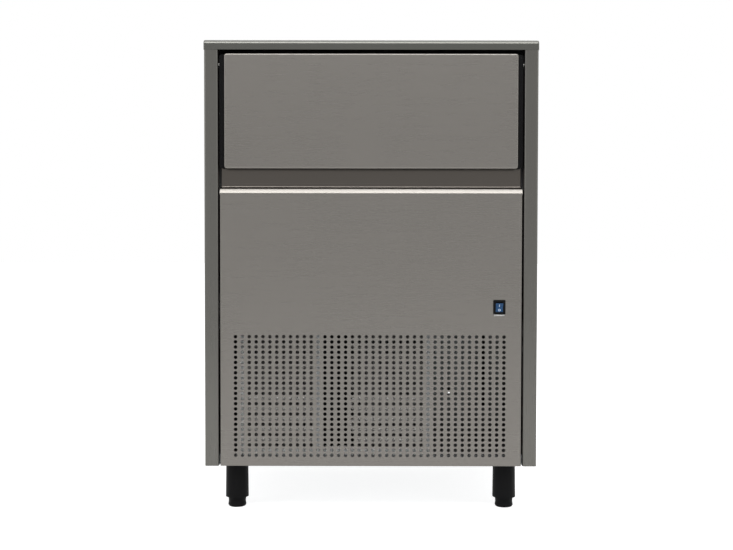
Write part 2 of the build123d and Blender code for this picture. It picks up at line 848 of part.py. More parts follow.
def make_compressor():
    """Hermetic compressor: two domed shells, a weld seam, a foot plate and two ports."""
    body = Solid.make_cylinder(compressor_radius, compressor_height)
    body = fillet(body.edges().filter_by(GeomType.CIRCLE), compressor_dome_radius)
    seam = Pos(0, 0, compressor_height / 2) * Cylinder(compressor_seam_radius, compressor_seam_height)
    plate = Pos(0, 0, compressor_plate_thickness / 2) * Box(
        compressor_plate_size, compressor_plate_size, compressor_plate_thickness)
    plate = fillet(plate.edges().filter_by(Axis.Z), mount_radius)
    for sx, sy in mount_signs():
        plate -= rod(mount_neck_radius, (sx * mount_spread, sy * mount_spread, 0),
                     (sx * mount_spread, sy * mount_spread, compressor_plate_thickness))
    body = body + seam + plate
    height = compressor_height + port_top_height
    for x, radius in ((port_offset, stub_radius), (-port_offset, suction_radius)):
        body += rod(radius, (x, 0, compressor_height / 2), (x, 0, height))
    return Pos(compressor_x, compressor_y, compressor_z) * body


def mount_signs():
    """Corners of the compressor's foot plate."""
    return [(sx, sy) for sy in (-1, 1) for sx in (-1, 1)]


def make_compressor_mounts():
    """Rubber grommets under the compressor, with a neck through its foot plate."""
    neck_z = compressor_z + compressor_plate_thickness
    top = neck_z + mount_head_height
    neck = mount_neck_radius - running_clearance
    points = [(0, pan_floor_z), (mount_radius, pan_floor_z), (mount_radius, compressor_z),
              (neck, compressor_z), (neck, neck_z), (mount_radius - neck / 2, neck_z),
              (neck, top), (0, top)]
    mounts = [turned(points, compressor_x + sx * mount_spread, compressor_y + sy * mount_spread)
              for sx, sy in mount_signs()]
    return Compound(children=mounts)


def make_discharge_line():
    """Tube from the compressor over the shroud and into the left condenser."""
    x = compressor_x + port_offset
    high_z = base_z + discharge_height
    low_z = condenser_top_z - stub_height_high
    points = [(x, compressor_y, port_z), (x, compressor_y, high_z), (x, tube_y, high_z),
              (x, tube_y, low_z), (condenser_left_x + condenser_width, tube_y, low_z)]
    return bent_tube(points, line_bend / 2, stub_radius)


def liquid_line_points():
    """Route from the filter drier up the rear wall to the front of the evaporator coil."""
    start = drier_y + drier_length + 2 * drier_neck_length
    jog_y = start + 3 * line_bend
    turn_y = jog_y + liquid_line_x - drier_x
    inlet_y = evaporator_front + cup_pitch / 2
    return [(drier_x, start, drier_z), (drier_x, jog_y, drier_z), (liquid_line_x, turn_y, drier_z),
            (liquid_line_x, line_y, drier_z), (liquid_line_x, line_y, coil_z),
            (liquid_line_x, inlet_y, coil_z), (coil_end_x, inlet_y, coil_z)]


def make_liquid_line():
    """Liquid tube to the evaporator."""
    return bent_tube(liquid_line_points(), line_bend, liquid_radius)


def suction_line_points():
    """Route from the rear of the evaporator coil down to the compressor."""
    outlet_y = evaporator_rear - cup_pitch / 2
    low_z = base_z + suction_height
    x = compressor_x - port_offset
    return [(coil_end_x, outlet_y, coil_z), (suction_line_x, outlet_y, coil_z),
            (suction_line_x, line_y, coil_z), (suction_line_x, line_y, low_z),
            (x, line_y, low_z), (x, compressor_y, low_z), (x, compressor_y, port_z)]


def make_suction_line():
    """Suction tube back to the compressor."""
    return bent_tube(suction_line_points(), line_bend, suction_radius)


def make_filter_drier():
    """Copper filter drier with a neck at each end."""
    shoulder = drier_neck_length
    points = [(0, 0), (stub_radius, 0), (drier_radius, shoulder),
              (drier_radius, shoulder + drier_length),
              (stub_radius, 2 * shoulder + drier_length), (0, 2 * shoulder + drier_length)]
    return Pos(drier_x, drier_y, drier_z) * Rot(-90, 0, 0) * turned(points)


def make_control_box():
    """Closed electrical box under the bin, behind the switch."""
    y = panel_y + box_front_gap
    box = block(box_left_x, box_left_x + box_width, y, y + box_depth, bin_base_z - box_height, bin_base_z)
    return fillet(box.edges().filter_by(Axis.Z), box_edge_radius)


def make_cable_gland():
    """Cable gland through the back panel."""
    z = base_z + gland_height
    outer_y = back_y + gland_proud
    inner_y = outer_y - gland_length
    gland = rod(gland_radius, (gland_x, inner_y, z), (gland_x, outer_y, z))
    nut = RegularPolygon(gland_nut_width / 2, 6, major_radius=False)
    for y in (back_inner_y - gland_nut_length, back_y):
        face = Plane(origin=(gland_x, y, z), x_dir=(1, 0, 0), z_dir=(0, 1, 0))
        gland += extrude(face * nut, gland_nut_length)
    return gland - rod(gland_bore_radius, (gland_x, inner_y, z), (gland_x, outer_y, z))


def make_inlet_valve():
    """Water solenoid valve with its threaded inlet and lock nut through the back panel."""
    z = base_z + valve_height
    half = valve_body_size / 2
    coil_y = back_inner_y - valve_body_size
    thread_end_y = back_y + inlet_thread_length
    body = block(valve_x - half, valve_x + half, coil_y, back_inner_y, z - half, z + half)
    body = fillet(body.edges().filter_by(Axis.Y), valve_body_size / 8)
    body += rod(inlet_thread_radius, (valve_x, back_inner_y, z), (valve_x, thread_end_y, z))
    face = Plane(origin=(valve_x, back_y, z), x_dir=(1, 0, 0), z_dir=(0, 1, 0))
    body += extrude(face * RegularPolygon(inlet_nut_width / 2, 6, major_radius=False), inlet_nut_length)
    body += rod(valve_coil_radius, (valve_x, coil_y - valve_coil_length, z), (valve_x, coil_y, z))
    body += rod(hose_radius, (valve_x, line_y, z + half), (valve_x, line_y, z + valve_body_size))
    return body - rod(inlet_bore_radius, (valve_x, back_inner_y, z), (valve_x, thread_end_y, z))


def water_hose_points():
    """Route of the fill hose from the valve up to the basin."""
    high_z = basin_rim_z + 2 * line_bend
    inside_y = bin_rear_y - 2 * line_bend
    return [(valve_x, line_y, base_z + valve_height + valve_body_size), (valve_x, line_y, high_z),
            (valve_x, inside_y, high_z), (valve_x, inside_y, basin_rim_z - basin_wall)]


def make_water_hose():
    """Fill hose."""
    return bent_tube(water_hose_points(), line_bend, hose_radius)


def make_bin_drain():
    """Drain fitting in the bin floor."""
    top = bin_floor_z + drain_flange_height
    low = bin_base_z - drain_tail
    points = [(drain_bore_radius, low), (drain_radius, low), (drain_radius, bin_floor_z),
              (drain_flange_radius, bin_floor_z), (drain_flange_radius, top), (drain_bore_radius, top)]
    return turned(points, drain_x, drain_y)


def make_drain_hose():
    """Hose from the bin drain to the outlet at the back."""
    low_z = bin_base_z - drain_tail
    points = [(drain_x, drain_y, low_z), (drain_x, drain_y, drain_z),
              (drain_x, back_y - drain_spigot_inside, drain_z)]
    return bent_tube(points, drain_hose_bend, drain_hose_radius)


def make_drain_outlet():
    """Spigot through the back panel for the site's drain hose."""
    inner_y = back_y - drain_spigot_inside
    outer_y = back_y + drain_spigot_length
    spigot = rod(drain_radius, (drain_x, inner_y, drain_z), (drain_x, outer_y, drain_z))
    spigot += rod(drain_flange_radius, (drain_x, back_y, drain_z),
                  (drain_x, back_y + drain_flange_height, drain_z))
    return spigot - rod(drain_bore_radius, (drain_x, inner_y, drain_z), (drain_x, outer_y, drain_z))


def make_water_basin():
    """Moulded basin under the spray bars, open at the top."""
    tub = block(-basin_half, basin_half, basin_front, basin_rear_y, basin_z, basin_rim_z)
    tub = fillet(tub.edges().filter_by(Axis.Z), basin_corner_radius)
    tub = offset(tub, amount=-basin_wall, openings=tub.faces().sort_by(Axis.Z)[-1])
    return tub - rod(overflow_radius + running_clearance, (drain_x, drain_y, basin_z),
                     (drain_x, drain_y, basin_floor_z))


def make_overflow_pipe():
    """Stand pipe that sets the water level and drops the surplus over the bin drain."""
    top = basin_floor_z + overflow_height
    low = bin_floor_z + overflow_floor_gap
    collar = basin_floor_z + overflow_collar_height
    wall = overflow_radius - bin_wall_sheet
    points = [(wall, low), (overflow_radius, low), (overflow_radius, basin_floor_z),
              (overflow_collar_radius, basin_floor_z), (overflow_collar_radius, collar),
              (overflow_radius, collar), (overflow_radius, top), (wall, top)]
    return turned(points, drain_x, drain_y)


def spray_bar_places():
    """One spray bar under each pair of cup rows."""
    first = evaporator_front + cup_pitch
    return [first + index * 2 * cup_pitch for index in range(spray_bar_count)]


def make_spray_manifold():
    """Header and spray bars with upward nozzles, on feet in the basin, and the pipe to the pump."""
    places = spray_bar_places()
    left = -header_x
    body = rod(spray_header_radius, (header_x, places[0] - cup_pitch / 2, spray_z),
               (header_x, places[-1] + cup_pitch / 2, spray_z))
    body += rod(spout_radius, (header_x, pump_y, spray_z),
                (spout_x(), pump_y, spray_z))
    hexagon = RegularPolygon(nozzle_radius, 6)
    tip = RegularPolygon(nozzle_tip_radius, 6)
    for y in places:
        body += rod(spray_bar_radius, (left, y, spray_z), (header_x, y, spray_z))
        for x in (left + spray_foot, header_x):
            body += block(x - spray_foot / 2, x + spray_foot / 2, y - spray_foot / 2, y + spray_foot / 2,
                          basin_floor_z, spray_z)
        for index in range(nozzle_count):
            x = (index - (nozzle_count - 1) / 2) * 2 * cup_pitch
            base = Plane.XY.offset(spray_z)
            crown = Plane.XY.offset(spray_z + spray_bar_radius + nozzle_height)
            body += Pos(x, y, 0) * loft([base * hexagon, crown * tip])
    return body


def spout_x():
    """End of the pump's spout, where the pipe from the spray header meets it."""
    return pump_x - pump_radius - spout_radius


def make_pump_casing():
    """Pump casing in the basin, its column and the plate that hangs on the basin's rim."""
    top = pump_floor_z + pump_casing_height
    plate_top = basin_rim_z + pump_plate_thickness
    points = [(pump_eye_radius, pump_floor_z), (pump_radius, pump_floor_z), (pump_radius, top),
              (pump_column_radius, top), (pump_column_radius, basin_rim_z),
              (pump_motor_radius, basin_rim_z), (pump_motor_radius, plate_top),
              (pump_shaft_radius + running_clearance, plate_top),
              (pump_shaft_radius + running_clearance, basin_rim_z),
              (pump_column_radius - pump_wall, basin_rim_z),
              (pump_column_radius - pump_wall, top - pump_wall),
              (pump_radius - pump_wall, top - pump_wall),
              (pump_radius - pump_wall, pump_floor_z + pump_wall),
              (pump_eye_radius, pump_floor_z + pump_wall)]
    casing = turned(points, pump_x, pump_y)
    arm = block(pump_x + pump_column_radius, basin_half, pump_y - pump_plate_length / 2,
                pump_y + pump_plate_length / 2, basin_rim_z, plate_top)
    arm -= rod(pump_motor_radius, (pump_x, pump_y, basin_rim_z), (pump_x, pump_y, plate_top))
    inlet_x = pump_x - pump_radius + pump_wall / 2
    spout = rod(spout_radius, (spout_x(), pump_y, spray_z), (inlet_x, pump_y, spray_z))
    return casing + arm + spout


def make_pump_impeller():
    """Shaft with a vaned impeller at its foot."""
    disc_z = pump_floor_z + pump_wall + impeller_gap
    disc_top = disc_z + impeller_disc
    top = basin_rim_z + pump_plate_thickness + pump_seat
    rotor = rod(pump_shaft_radius, (0, 0, disc_z), (0, 0, top))
    rotor += rod(impeller_radius, (0, 0, disc_z), (0, 0, disc_top))
    vane = block(pump_shaft_radius / 2, impeller_radius - 1, -impeller_vane_thickness / 2,
                 impeller_vane_thickness / 2, disc_z, disc_z + impeller_height)
    for index in range(impeller_vane_count):
        rotor += Rot(0, 0, index * 360 / impeller_vane_count) * vane
    return Pos(pump_x, pump_y, 0) * rotor


def make_pump_motor():
    """Closed pump motor on the pump's plate."""
    low = basin_rim_z + pump_plate_thickness
    motor = rod(pump_motor_radius, (pump_x, pump_y, low), (pump_x, pump_y, low + pump_motor_height))
    motor = fillet(motor.edges().filter_by(GeomType.CIRCLE).sort_by(Axis.Z)[-1], motor_end_radius)
    return motor - rod(pump_shaft_radius + running_clearance, (pump_x, pump_y, low),
                       (pump_x, pump_y, low + pump_seat + running_clearance))


def make_spray_chamber():
    """Three walls round the spray, with sloping ledges for the chute."""
    outer = chamber_half
    inner = outer - chamber_wall
    low_front = basin_front + basin_wall
    body = block(-outer, outer, chamber_rear_y, chamber_rear_y + chamber_wall, basin_floor_z, chamber_top_z)
    for x in (-outer, inner):
        body += block(x, x + chamber_wall, low_front, chamber_rear_y, basin_floor_z, chamber_top_z)
        body += block(x, x + chamber_wall, chamber_front, low_front, basin_rim_z, chamber_top_z)
    for side in (-1, 1):
        ledge = Box(chamber_wall, chute_length(), chute_thickness)
        body += chute_place(side * (inner - chamber_wall / 2), -chute_thickness) * ledge
        hole = (side * (inner - chamber_wall), curtain_y, curtain_z())
        body -= rod(rod_radius + running_clearance / 2, hole, (side * outer, curtain_y, curtain_z()))
    bore = spout_radius + running_clearance
    return body - rod(bore, (inner - chamber_wall, pump_y, spray_z), (outer, pump_y, spray_z))


def chute_length():
    """Length of the chute along its slope."""
    return (chamber_rear_y - chute_rear_gap - chute_front) / math.cos(math.radians(chute_slope))


def chute_place(x, drop):
    """Place on the middle of the sloping chute, at a height above or below its plane."""
    half = chute_length() / 2
    angle = math.radians(chute_slope)
    y = chute_front + half * math.cos(angle)
    z = basin_floor_z + chute_front_height + half * math.sin(angle)
    return Pos(x, y, z) * Rot(chute_slope, 0, 0) * Pos(0, 0, drop)


def make_ice_chute():
    """Sloping grid that lets water through and carries the cubes to the curtain."""
    half_x = chamber_half - chamber_wall - chute_side_gap
    length = chute_length()
    grid = Box(2 * half_x, length, chute_thickness)
    grid -= Box(2 * (half_x - chute_rail), length - 2 * chute_rail, chute_thickness)
    count = int(2 * (half_x - chute_rail) // chute_bar_pitch)
    for place in GridLocations(chute_bar_pitch, 1, count, 1):
        grid += Pos(place.position.X, 0, 0) * Box(chute_bar_width, length - chute_rail, chute_thickness)
    return chute_place(0, 0) * grid


def curtain_z():
    """Height of the curtain rod."""
    return chamber_top_z - curtain_drop_from_top


def make_curtain_rod():
    """Rod that the curtain slats hang from."""
    return rod(rod_radius, (-chamber_half, curtain_y, curtain_z()), (chamber_half, curtain_y, curtain_z()))


def make_curtain_slat(index):
    """One curtain slat with its knuckle round the rod."""
    room = 2 * (chamber_half - chamber_wall - slat_side_gap)
    width = room / slat_count - slat_gap
    x = -room / 2 + slat_gap / 2 + index * (width + slat_gap)
    z = curtain_z()
    slat = rod(slat_knuckle_radius, (x, curtain_y, z), (x + width, curtain_y, z))
    slat += block(x, x + width, curtain_y - slat_thickness / 2, curtain_y + slat_thickness / 2,
                  z - slat_length, z)
    slat += block(x, x + width, curtain_y - slat_stiffener / 2, curtain_y + slat_thickness / 2,
                  z - slat_length, z - slat_length + slat_stiffener)
    return slat - rod(rod_radius + running_clearance, (x, curtain_y, z), (x + width, curtain_y, z))


def make_evaporator_cups():
    """Freezing plate with a grid of tapered cups that open downwards."""
    centre_y = (evaporator_front + evaporator_rear) / 2
    grid = GridLocations(cup_pitch, cup_pitch, cup_columns, cup_rows)
    plate = block(-plate_half, plate_half, evaporator_front - chamber_rear_gap,
                  chamber_rear_y + chamber_wall, chamber_top_z, cup_base_z)
    taper = math.degrees(math.atan((cup_mouth - cup_crown) / 2 / cup_height))
    mouths = Sketch() + [place * Rectangle(cup_mouth, cup_mouth) for place in grid]
    plate += extrude(Plane(origin=(0, centre_y, cup_base_z)) * mouths, cup_height, taper=taper)
    inner = cup_mouth - 2 * cup_wall
    hollows = Sketch() + [place * Rectangle(inner, inner) for place in grid]
    depth = plate_thickness + cup_height - cup_wall
    return plate - extrude(Plane(origin=(0, centre_y, chamber_top_z)) * hollows, depth, taper=taper)


def make_evaporator_coil():
    """Serpentine tube on the crowns of the cups."""
    bend = cup_pitch / 2
    run = cup_columns * cup_pitch / 2 - bend
    coil = Part()
    for row in range(cup_rows):
        y = evaporator_front + bend + row * cup_pitch
        last = row in (0, cup_rows - 1)
        coil += rod(coil_radius, (-run, y, coil_z), (coil_end_x if last else run, y, coil_z))
    for row in range(cup_rows - 1):
        side = -1 if row % 2 == 0 else 1
        start = Vector(side * run, evaporator_front + bend + row * cup_pitch, coil_z)
        arc = ThreePointArc(start, start + Vector(side * bend, bend, 0), start + Vector(0, cup_pitch, 0))
        coil += sweep(Plane(origin=start, z_dir=(side, 0, 0)) * Circle(coil_radius), arc)
    return coil


def make_evaporator_cover():
    """Lid over the coil, on four posts."""
    half_x = plate_half
    low_y = evaporator_front - cover_margin
    high_y = chamber_rear_y + chamber_wall
    lid = block(-half_x, half_x, low_y, high_y, cover_z, cover_z + cover_thickness)
    lid = fillet(lid.edges().filter_by(Axis.Z), cover_margin)
    for x in (-half_x, half_x - cover_post):
        for y in (low_y + cover_post, high_y - 2 * cover_post):
            lid += block(x, x + cover_post, y, y + cover_post, cup_base_z, cover_z)
    return lid


def make_parts():
    """Every sub-part by its name."""
    right_side = make_side_panel()
    right_track = make_door_track()
    fan_left_x, fan_right_x = fan_places()
    parts = {
        "base_pan": make_base_pan(),
        "left_side_panel": mirror(right_side, Plane.YZ),
        "right_side_panel": right_side,
        "back_panel": make_back_panel(),
        "top_panel": make_top_panel(),
        "top_insulation": make_top_insulation(),
        "front_panel": make_front_panel(),
        "sill_panel": make_sill_panel(),
        "bin_insulation": make_bin_insulation(),
        "bin_liner": make_bin_liner(),
        "left_door_track": mirror(right_track, Plane.YZ),
        "right_door_track": right_track,
        "door_axle": make_door_axle(),
        "door_slide_blocks": make_slide_blocks(),
        "door_skin": make_door_skin(),
        "door_inner": make_door_inner(),
        "leg_tubes": make_leg_tubes(),
        "switch_housing": make_switch_housing(),
        "switch_rocker": make_switch_rocker(),
        "left_condenser": make_left_condenser(),
        "right_condenser": make_right_condenser(),
        "condenser_frame": make_condenser_frame(),
        "fan_shroud": make_fan_shroud(),
        "left_fan": make_fan(fan_left_x),
        "right_fan": make_fan(fan_right_x),
        "fan_arms": make_fan_arms(),
        "fan_motors": make_fan_motors(),
        "compressor": make_compressor(),
        "compressor_mounts": make_compressor_mounts(),
        "discharge_line": make_discharge_line(),
        "liquid_line": make_liquid_line(),
        "suction_line": make_suction_line(),
        "filter_drier": make_filter_drier(),
        "control_box": make_control_box(),
        "cable_gland": make_cable_gland(),
        "water_inlet_valve": make_inlet_valve(),
        "water_hose": make_water_hose(),
        "bin_drain": make_bin_drain(),
        "drain_hose": make_drain_hose(),
        "drain_outlet": make_drain_outlet(),
        "water_basin": make_water_basin(),
        "overflow_pipe": make_overflow_pipe(),
        "spray_manifold": make_spray_manifold(),
        "pump_casing": make_pump_casing(),
        "pump_impeller": make_pump_impeller(),
        "pump_motor": make_pump_motor(),
        "spray_chamber": make_spray_chamber(),
        "ice_chute": make_ice_chute(),
        "curtain_rod": make_curtain_rod(),
        "evaporator_cups": make_evaporator_cups(),
        "evaporator_coil": make_evaporator_coil(),
        "evaporator_cover": make_evaporator_cover(),
    }
    for corner, (x, y) in zip(("front_left", "front_right", "rear_left", "rear_right"), leg_places()):
        parts[f"{corner}_foot"] = make_foot(x, y)
    for number in range(slat_count):
        parts[f"curtain_slat_{number + 1}"] = make_curtain_slat(number)
    return parts


os.makedirs("parts", exist_ok=True)
for part_name, shape in make_parts().items():
    export_step(shape, f"parts/{part_name}.step")
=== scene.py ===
import math

import bmesh
import bpy
from mathutils import Matrix, Vector


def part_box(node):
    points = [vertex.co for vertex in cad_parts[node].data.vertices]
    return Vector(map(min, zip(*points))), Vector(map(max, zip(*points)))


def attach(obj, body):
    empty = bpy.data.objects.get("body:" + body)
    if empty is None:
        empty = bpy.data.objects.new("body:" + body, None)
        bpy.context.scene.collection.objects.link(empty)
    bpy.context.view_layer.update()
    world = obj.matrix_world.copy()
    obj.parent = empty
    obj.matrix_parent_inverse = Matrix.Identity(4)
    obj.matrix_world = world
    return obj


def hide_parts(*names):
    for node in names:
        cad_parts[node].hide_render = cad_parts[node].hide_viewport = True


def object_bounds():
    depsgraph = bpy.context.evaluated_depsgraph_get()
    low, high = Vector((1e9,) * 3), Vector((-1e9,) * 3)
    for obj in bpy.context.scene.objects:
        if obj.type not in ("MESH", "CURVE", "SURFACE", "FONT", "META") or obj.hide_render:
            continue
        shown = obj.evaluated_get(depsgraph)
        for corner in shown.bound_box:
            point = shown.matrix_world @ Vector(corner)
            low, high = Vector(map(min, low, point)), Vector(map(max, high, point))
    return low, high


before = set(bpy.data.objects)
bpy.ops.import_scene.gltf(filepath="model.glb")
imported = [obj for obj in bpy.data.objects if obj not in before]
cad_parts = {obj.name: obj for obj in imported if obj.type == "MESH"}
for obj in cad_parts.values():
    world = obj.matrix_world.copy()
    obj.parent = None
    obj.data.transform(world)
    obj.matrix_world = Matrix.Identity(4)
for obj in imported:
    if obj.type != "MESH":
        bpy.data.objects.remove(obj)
cad_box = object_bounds()

# The studio is a pale floor and a white surround with soft lamps above and in front.
# The camera stands a few paces off, a little below the middle of the door, and looks
# very slightly down at the front.
camera_distance = 2.8
camera_side = -0.0068
camera_height = 0.687
camera_pitch = math.radians(1.78)
camera_yaw = math.radians(0.09)
camera_roll = math.radians(0.09)
camera_lens = 54.56
front_y = cad_box[0][1] + 0.001
lens_data = bpy.data.cameras.new("studio_camera")
lens_data.lens = camera_lens
lens_data.sensor_width = 36.0
lens_data.clip_end = 60.0
camera = bpy.data.objects.new("studio_camera", lens_data)
bpy.context.collection.objects.link(camera)
camera.matrix_world = (Matrix.Translation((camera_side, front_y - camera_distance, camera_height))
                       @ Matrix.Rotation(camera_yaw, 4, "Z")
                       @ Matrix.Rotation(math.pi / 2 - camera_pitch, 4, "X")
                       @ Matrix.Rotation(camera_roll, 4, "Z"))
bpy.context.scene.camera = camera
bpy.context.scene.view_settings.view_transform = "Standard"


def add_lamp(name, place, aim, size, power):
    """Square soft lamp at a place, turned towards a point."""
    data = bpy.data.lights.new(name, "AREA")
    data.shape = "RECTANGLE"
    data.size, data.size_y = size
    data.energy = power
    lamp = bpy.data.objects.new(name, data)
    bpy.context.collection.objects.link(lamp)
    lamp.location = place
    lamp.rotation_euler = (Vector(aim) - Vector(place)).to_track_quat("-Z", "Y").to_euler()
    return lamp


add_lamp("ceiling_softbox", (0.0, -0.5, 3.5), (0.0, -0.3, 0.6), (4.0, 2.4), 60.0)
add_lamp("strip_softbox", (0.0, -2.45, 3.25), (0.0, -0.4, 0.8), (3.4, 1.0), 85.0)
add_lamp("left_softbox", (-3.4, -2.6, 1.9), (0.0, -0.2, 0.6), (1.6, 2.4), 18.0)
add_lamp("right_softbox", (3.4, -2.6, 1.9), (0.0, -0.2, 0.6), (1.6, 2.4), 14.0)
add_lamp("rear_softbox", (0.6, 3.6, 2.4), (0.0, 0.0, 0.6), (3.0, 2.0), 40.0)


def wire(nodes, *links):
    """Joins sockets given as (from node, output, to node, input)."""
    for source, output, target, name in links:
        nodes.id_data.links.new(source.outputs[output], target.inputs[name])


def background_rays(nodes):
    """One where the camera looks, also by way of metal or glass, and zero elsewhere."""
    rays = nodes.new("ShaderNodeLightPath")
    direct = nodes.new("ShaderNodeMath")
    direct.operation = "MAXIMUM"
    both = nodes.new("ShaderNodeMath")
    both.operation = "MAXIMUM"
    wire(nodes, (rays, "Is Camera Ray", direct, 0), (rays, "Is Glossy Ray", direct, 1),
         (direct, 0, both, 0), (rays, "Is Transmission Ray", both, 1))
    return both


def surround():
    """White surround, with a room that is darker at eye level to light what is dull."""
    world = bpy.data.worlds.new("studio_surround")
    bpy.context.scene.world = world
    world.use_nodes = True
    nodes = world.node_tree.nodes
    nodes.clear()
    seen = background_rays(nodes)
    direction = nodes.new("ShaderNodeTexCoord")
    parts = nodes.new("ShaderNodeSeparateXYZ")
    ramp = nodes.new("ShaderNodeValToRGB")
    ramp.color_ramp.elements[0].position = 0.0
    ramp.color_ramp.elements[0].color = (0.42, 0.42, 0.42, 1)
    ramp.color_ramp.elements[1].position = 0.75
    ramp.color_ramp.elements[1].color = (1.0, 1.0, 1.0, 1)
    room = nodes.new("ShaderNodeBackground")
    room.inputs["Strength"].default_value = 0.9
    white = nodes.new("ShaderNodeBackground")
    white.inputs["Color"].default_value = (1, 1, 1, 1)
    mix = nodes.new("ShaderNodeMixShader")
    out = nodes.new("ShaderNodeOutputWorld")
    wire(nodes, (direction, "Generated", parts, 0), (parts, "Z", ramp, 0),
         (ramp, "Color", room, "Color"), (seen, 0, mix, 0), (mix, 0, out, "Surface"))
    world.node_tree.links.new(room.outputs[0], mix.inputs[1])
    world.node_tree.links.new(white.outputs[0], mix.inputs[2])


surround()


def studio_floor():
    """Pale floor that reads white and keeps a soft shadow under the machine."""
    bpy.ops.object.select_all(action="DESELECT")
    bpy.ops.mesh.primitive_plane_add(size=60.0, location=(0, 0, 0))
    floor = bpy.context.object
    floor.name = "studio_floor"
    paint = bpy.data.materials.new("pale_floor")
    paint.use_nodes = True
    nodes = paint.node_tree.nodes
    shader = nodes["Principled BSDF"]
    shader.inputs["Base Color"].default_value = (0.45, 0.45, 0.45, 1)
    shader.inputs["Roughness"].default_value = 0.9
    shader.inputs["Emission Color"].default_value = (1, 1, 1, 1)
    seen = background_rays(nodes)
    lift = nodes.new("ShaderNodeMath")
    lift.operation = "MULTIPLY"
    lift.inputs[1].default_value = 0.78
    wire(nodes, (seen, 0, lift, 0), (lift, 0, shader, "Emission Strength"))
    floor.data.materials.append(paint)


studio_floor()


# Sheet steel. The cabinet is satin brushed stainless sheet: long fine hairlines along
# the sheet, a slightly uneven sheen and no paint. The pan, frames and back are
# galvanised sheet with a soft spangle.
def new_group(name, sockets_in, sockets_out):
    """Empty shader group with named sockets given as (name, type, value)."""
    group = bpy.data.node_groups.new(name, "ShaderNodeTree")
    for label, kind, value in sockets_in:
        socket = group.interface.new_socket(name=label, in_out="INPUT", socket_type=kind)
        if value is not None:
            socket.default_value = value
    for label, kind in sockets_out:
        group.interface.new_socket(name=label, in_out="OUTPUT", socket_type=kind)
    start = group.nodes.new("NodeGroupInput")
    end = group.nodes.new("NodeGroupOutput")
    return group, start, end


finish_inputs = [("Coordinates", "NodeSocketVector", None),
                 ("Stretch", "NodeSocketVector", (1.0, 1.0, 1.0)),
                 ("Colour", "NodeSocketColor", (0.5, 0.5, 0.5, 1)),
                 ("Colour Depth", "NodeSocketFloat", 0.1),
                 ("Roughness", "NodeSocketFloat", 0.4),
                 ("Roughness Depth", "NodeSocketFloat", 0.1)]
finish_outputs = [("Colour", "NodeSocketColor"), ("Roughness", "NodeSocketFloat"),
                  ("Height", "NodeSocketFloat")]


def shade_by(group, start, end, factor):
    """Colour and roughness of a finish, both led by one factor from 0 to 1."""
    nodes = group.nodes
    depth = nodes.new("ShaderNodeMath")
    depth.operation = "MULTIPLY_ADD"
    swing = nodes.new("ShaderNodeMath")
    swing.operation = "SUBTRACT"
    swing.inputs[1].default_value = 0.5
    tone = nodes.new("ShaderNodeVectorMath")
    tone.operation = "SCALE"
    rough = nodes.new("ShaderNodeMath")
    rough.operation = "MULTIPLY_ADD"
    rough.use_clamp = True
    depth.inputs[2].default_value = 1.0
    group.links.new(factor, swing.inputs[0])
    wire(nodes, (swing, 0, depth, 0), (start, "Colour Depth", depth, 1),
         (start, "Colour", tone, 0), (depth, 0, tone, "Scale"), (tone, 0, end, "Colour"),
         (swing, 0, rough, 0), (start, "Roughness Depth", rough, 1),
         (start, "Roughness", rough, 2), (rough, 0, end, "Roughness"))


def noise_in(group, start, scale, detail, stretched=True):
    """Noise over the surface, drawn out by the group's stretch when asked."""
    nodes = group.nodes
    noise = nodes.new("ShaderNodeTexNoise")
    noise.inputs["Scale"].default_value = scale
    noise.inputs["Detail"].default_value = detail
    if stretched:
        drawn = nodes.new("ShaderNodeVectorMath")
        drawn.operation = "MULTIPLY"
        wire(nodes, (start, "Coordinates", drawn, 0), (start, "Stretch", drawn, 1),
             (drawn, 0, noise, "Vector"))
    else:
        wire(nodes, (start, "Coordinates", noise, "Vector"))
    return noise


def mixed(group, first, second, share):
    """Two factors mixed, with that share of the second."""
    mix = group.nodes.new("ShaderNodeMix")
    mix.inputs["Factor"].default_value = share
    group.links.new(first, mix.inputs["A"])
    group.links.new(second, mix.inputs["B"])
    return mix.outputs["Result"]


def brushed_group():
    """Fine hairlines with broad, faint changes of sheen."""
    group, start, end = new_group("brushed_grain", finish_inputs, finish_outputs)
    fine = noise_in(group, start, 900.0, 3.0)
    long = noise_in(group, start, 160.0, 2.0)
    broad = noise_in(group, start, 5.0, 2.0, stretched=False)
    hairs = mixed(group, fine.outputs["Fac"], long.outputs["Fac"], 0.35)
    shade_by(group, start, end, mixed(group, hairs, broad.outputs["Fac"], 0.3))
    group.links.new(hairs, end.inputs["Height"])
    return group


def spangle_group():
    """Zinc crystals of slightly different shade."""
    group, start, end = new_group("zinc_spangle", finish_inputs, finish_outputs)
    cells = group.nodes.new("ShaderNodeTexVoronoi")
    cells.inputs["Scale"].default_value = 110.0
    parts = group.nodes.new("ShaderNodeSeparateColor")
    wire(group.nodes, (start, "Coordinates", cells, "Vector"), (cells, "Color", parts, 0))
    cloud = noise_in(group, start, 14.0, 4.0, stretched=False)
    shade_by(group, start, end, mixed(group, parts.outputs[0], cloud.outputs["Fac"], 0.5))
    wire(group.nodes, (cloud, "Fac", end, "Height"))
    return group


def moulded_group():
    """Fine spark-eroded texture of moulded plastic, with a faint cloudiness."""
    group, start, end = new_group("moulded_texture", finish_inputs, finish_outputs)
    fine = noise_in(group, start, 1400.0, 2.0, stretched=False)
    cloud = noise_in(group, start, 12.0, 3.0, stretched=False)
    shade_by(group, start, end, mixed(group, fine.outputs["Fac"], cloud.outputs["Fac"], 0.55))
    wire(group.nodes, (fine, "Fac", end, "Height"))
    return group


